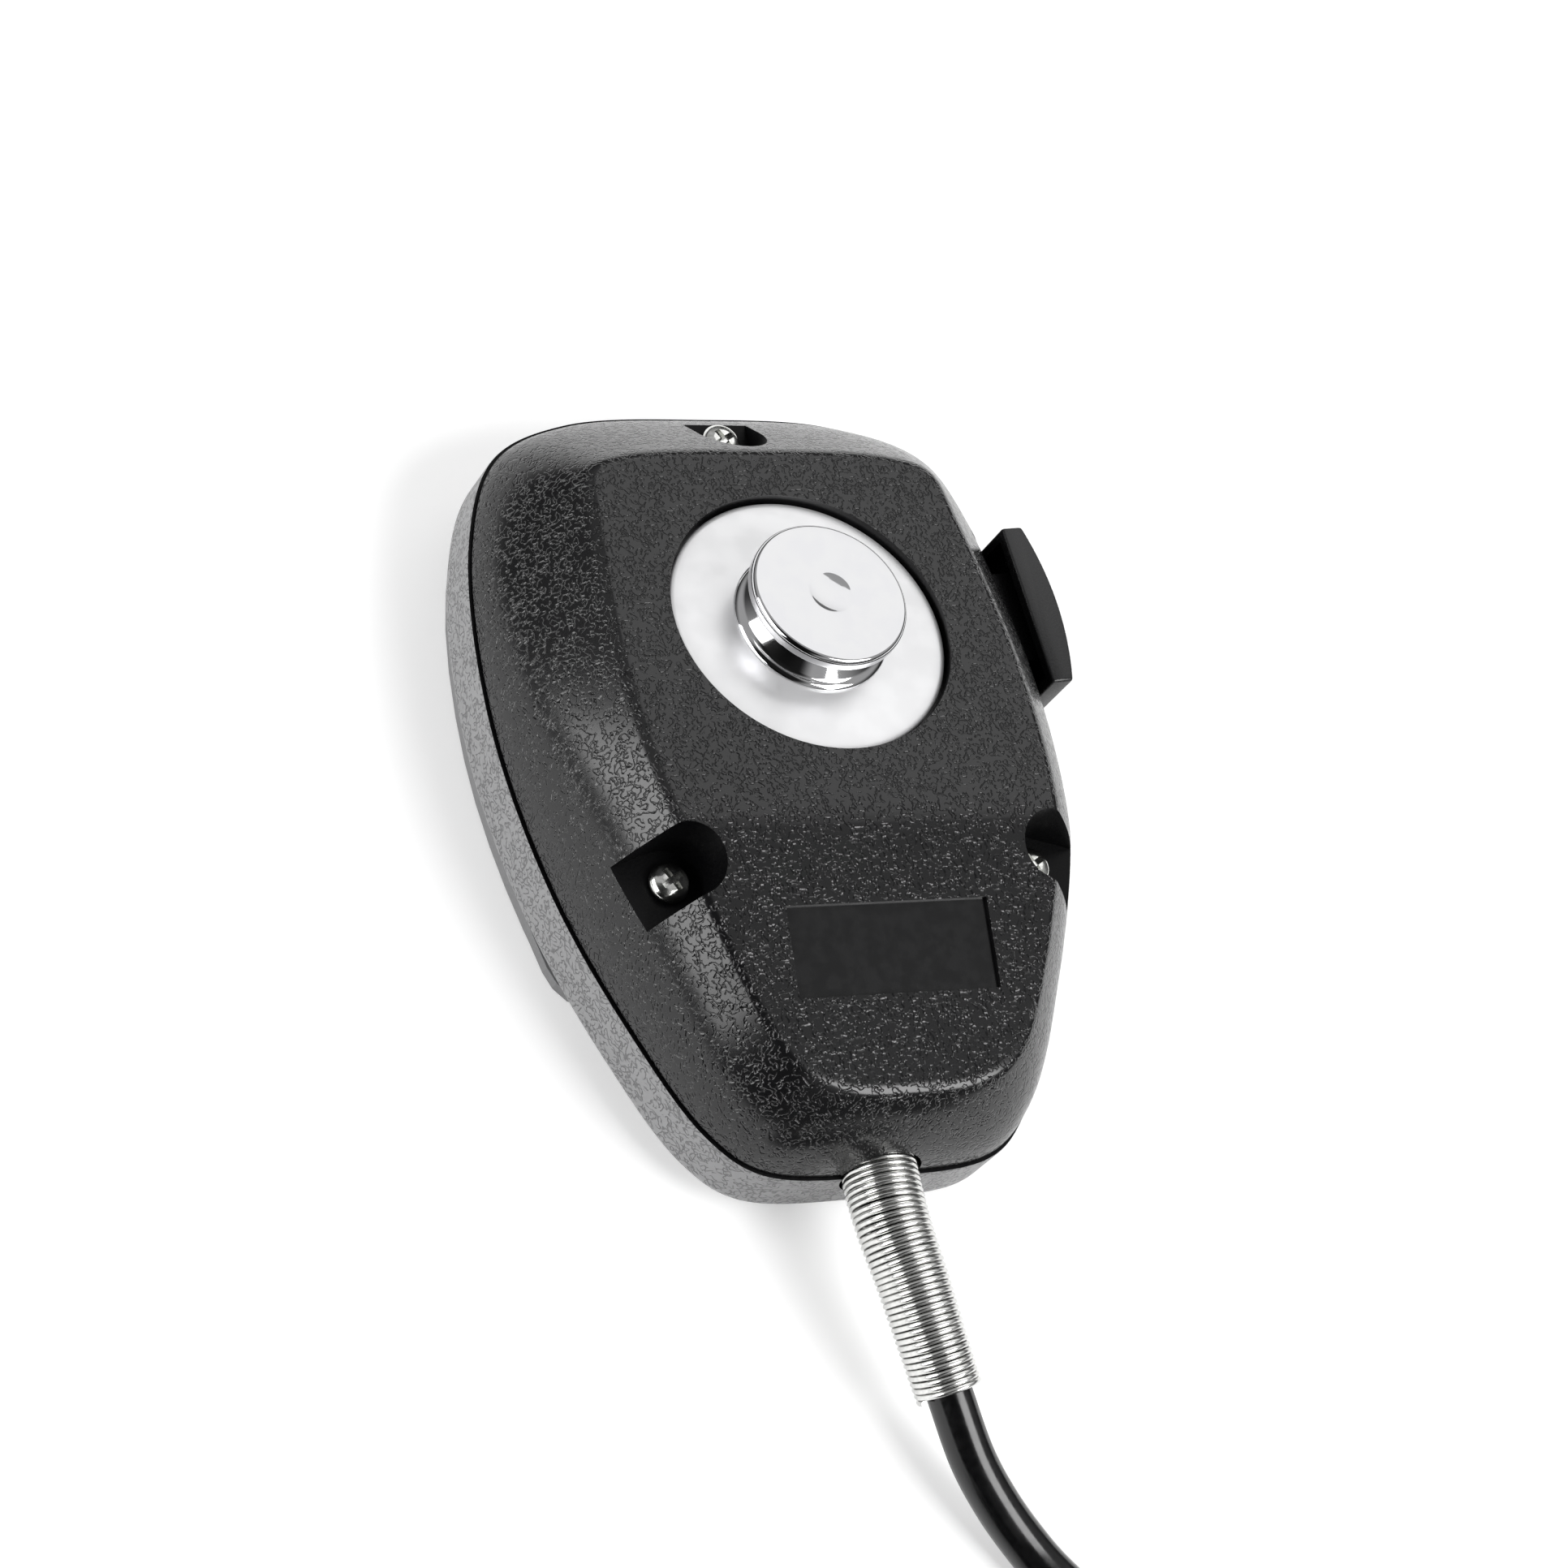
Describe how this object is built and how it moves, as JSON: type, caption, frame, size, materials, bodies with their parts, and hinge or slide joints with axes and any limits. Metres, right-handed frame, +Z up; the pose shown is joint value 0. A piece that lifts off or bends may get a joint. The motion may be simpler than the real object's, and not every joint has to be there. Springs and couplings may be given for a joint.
{
  "type": "hand microphone",
  "caption": "Two-piece hand microphone with a sliding press-to-talk bar, a hang-up button on its back, a spring strain relief and a cable that ends in a screw-ring plug.",
  "frame": {"origin": "on the flat face of the grille, below the axis of the hang-up button and on the case's plane of symmetry", "axes": "+Z up out of the back of the case as it lies on its grille, +Y towards the head, +X towards the press-to-talk bar"},
  "size_m": [0.0845, 0.2432, 0.0314],
  "materials": {
    "grained_abs": "moulded leather grain, low sheen",
    "satin_abs": "smooth moulded, satin",
    "chrome_plate": "bright chrome plating",
    "zinc_steel": "zinc plated",
    "spring_steel": "bright drawn wire",
    "plug_nickel": "nickel plated, turned",
    "brass": "turned",
    "black_rubber": "matte",
    "black_cloth": "woven",
    "green_laminate": "solder-mask lacquer",
    "brown_phenolic": "moulded",
    "black_pvc": "extruded jacket",
    "lead_white": "insulation",
    "lead_red": "insulation",
    "lead_black": "insulation"
  },
  "bodies": {
    "microphone": {"rear_case": "grained_abs", "front_case": "grained_abs", "front_grille": "satin_abs", "grille_cloth": "black_cloth", "hang_plate": "chrome_plate", "hang_button": "chrome_plate", "button_washer": "zinc_steel", "button_nut": "zinc_steel", "case_screw_right": "zinc_steel", "case_screw_left": "zinc_steel", "case_screw_head": "zinc_steel", "cartridge_gasket": "black_rubber", "mic_cartridge": "zinc_steel", "cartridge_strap": "zinc_steel", "strap_screw_left": "zinc_steel", "strap_screw_right": "zinc_steel", "circuit_board": "green_laminate", "board_screw_left": "zinc_steel", "board_screw_right": "zinc_steel", "ptt_spring": "spring_steel", "switch_body": "brown_phenolic", "spring_ferrule": "zinc_steel", "strain_relief_spring": "spring_steel", "cable_clamp": "zinc_steel", "clamp_screw_left": "zinc_steel", "clamp_screw_right": "zinc_steel", "cable_tail": "black_pvc", "cable_coil": "black_pvc", "cable_end": "black_pvc", "cable_tie": "black_pvc", "cable_lead_1": "lead_white", "cable_lead_2": "lead_red", "cable_lead_3": "lead_black", "element_lead_left": "lead_red", "element_lead_right": "lead_black", "plug_cap": "plug_nickel", "plug_body": "plug_nickel", "plug_insert": "brown_phenolic", "plug_set_screw": "zinc_steel"},
    "talk_bar": {"ptt_bar": "satin_abs"},
    "plunger": {"switch_plunger": "brass"},
    "coupling_ring": {"plug_ring": "plug_nickel"}
  },
  "joints": [
    {"name": "talk_press", "type": "slide", "parent": "microphone", "child": "talk_bar", "axis": [-0.9974, -0.0715, 0], "range_m": [0, 0.0025], "stiffness_N_per_m": 400, "springref_m": -0.003, "deforming": ["ptt_spring"]},
    {"name": "plunger_slide", "type": "slide", "parent": "microphone", "child": "plunger", "axis": [-0.9974, -0.0715, 0], "range_m": [0, 0.0025]},
    {"name": "ring_turn", "type": "hinge", "parent": "microphone", "child": "coupling_ring", "pos_m": [-0.035, -0.2016, 0.00905], "axis": [-1, 0, 0], "continuous": true}
  ],
  "couplings": [
    {"joint": "plunger_slide", "follows": "talk_press", "ratio": 1}
  ]
}
